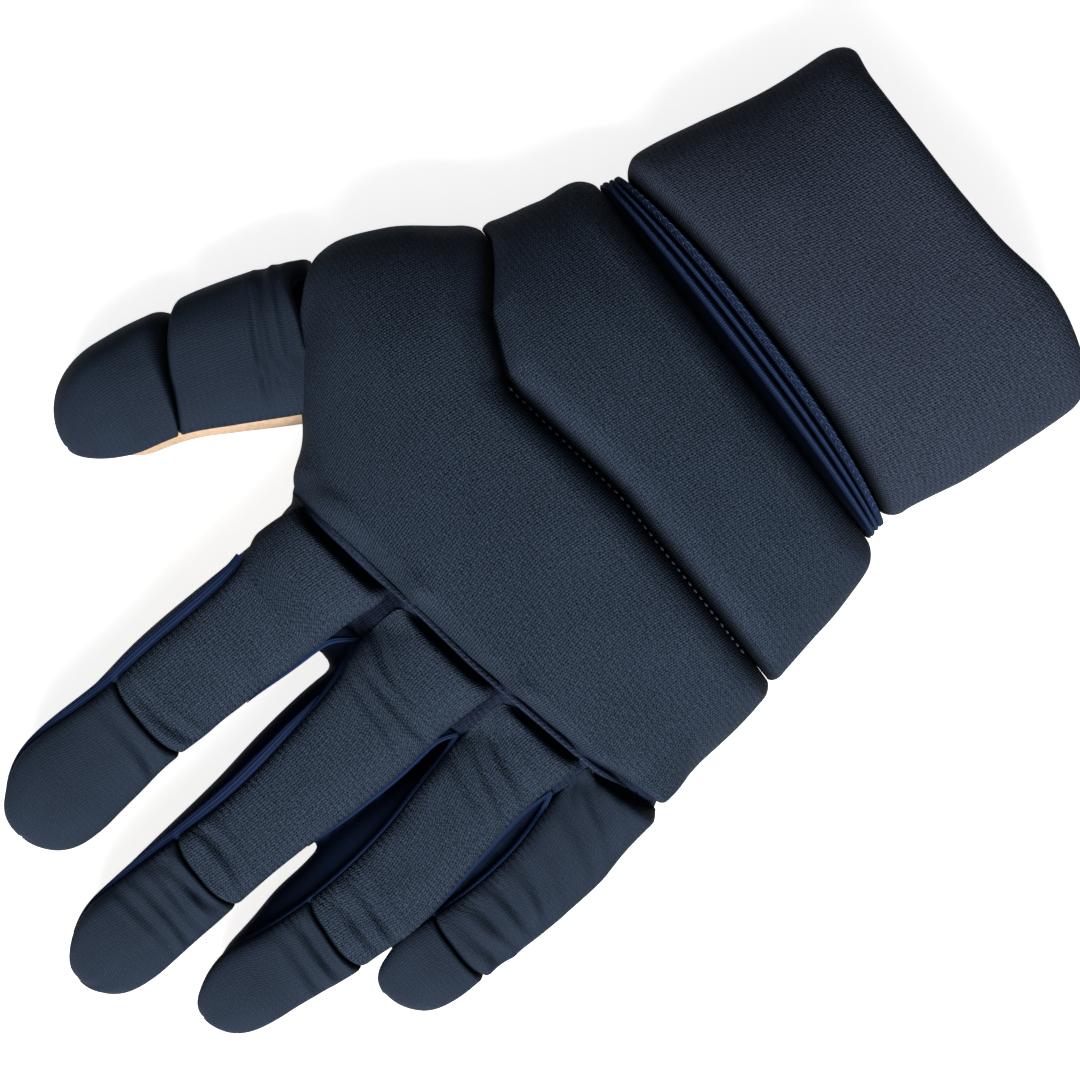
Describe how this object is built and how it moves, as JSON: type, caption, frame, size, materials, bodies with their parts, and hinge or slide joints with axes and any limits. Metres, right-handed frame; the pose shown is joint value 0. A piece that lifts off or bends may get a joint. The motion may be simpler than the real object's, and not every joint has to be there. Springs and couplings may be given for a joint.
{
  "type": "bandy glove",
  "caption": "Padded stick-sport glove for the left hand with segmented foam pads on the back, stretch side panels, a leather palm, an elastic wrist band and a rolled cuff.",
  "frame": {"origin": "under the middle of the palm, on the surface that the glove rests on", "axes": "+Y from the wrist to the fingertips, +X to the thumb's side, +Z out of the back of the hand"},
  "size_m": [0.179, 0.2837, 0.0491],
  "materials": {
    "navy_knit": "matte",
    "blue_stretch": "matte",
    "blue_elastic": "satin",
    "palm_leather": "matte"
  },
  "bodies": {
    "root": {"palm": "palm_leather", "thumb_palm": "palm_leather", "back_panel": "navy_knit", "thumb_back": "navy_knit", "knuckle_pad": "navy_knit", "wrist_pad": "navy_knit", "index_pad": "navy_knit", "index_tip_pad": "navy_knit", "middle_pad": "navy_knit", "middle_tip_pad": "navy_knit", "ring_pad": "navy_knit", "ring_tip_pad": "navy_knit", "little_pad": "navy_knit", "little_tip_pad": "navy_knit", "thumb_pad": "navy_knit", "thumb_tip_pad": "navy_knit", "little_side": "blue_stretch", "ring_little_side": "blue_stretch", "middle_ring_side": "blue_stretch", "index_middle_side": "blue_stretch", "index_side": "blue_stretch", "wrist_band": "blue_elastic", "cuff": "navy_knit"}
  },
  "joints": []
}
